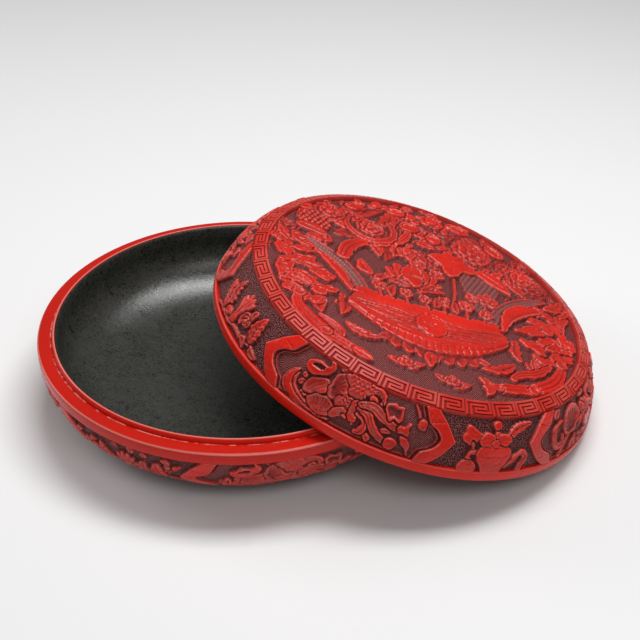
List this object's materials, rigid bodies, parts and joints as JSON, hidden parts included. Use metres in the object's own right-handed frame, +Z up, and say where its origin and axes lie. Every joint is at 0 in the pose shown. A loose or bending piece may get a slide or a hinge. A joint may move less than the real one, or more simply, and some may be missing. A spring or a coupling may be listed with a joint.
{
  "type": "lacquer box",
  "caption": "Shallow round box of carved red lacquer with a black dish inside, open, its domed lid leaning on the rim of the base.",
  "frame": {"origin": "centre of the footprint at table height, midway between the base's far edge and the lid's", "axes": "+Z up; +X from the base towards the side where the leaning lid touches the table; XZ is the plane of symmetry"},
  "size_m": [0.3068, 0.22, 0.0936],
  "materials": {
    "red_lacquer": "thick carved cinnabar lacquer, glossy on the relief and darker in the ground",
    "black_lacquer": "satin black lacquer with a faint leathery mottle",
    "core_wood": "bare, hidden under the lacquer"
  },
  "bodies": {
    "base": {"base_core_floor": "core_wood", "base_core_bend": "core_wood", "base_core_hoop": "core_wood", "base_foot_ring": "black_lacquer", "base_underside": "black_lacquer", "base_lip": "red_lacquer", "base_lining": "black_lacquer", "base_carved_coat": "red_lacquer"},
    "lid": {"lid_core_top": "core_wood", "lid_core_shoulder": "core_wood", "lid_core_hoop": "core_wood", "lid_lining": "black_lacquer", "lid_carved_coat": "red_lacquer"}
  },
  "joints": [
    {"name": "lid_lift", "type": "slide", "parent": "base", "child": "lid", "axis": [0, 0, 1], "range_m": [0, 0.12]}
  ]
}
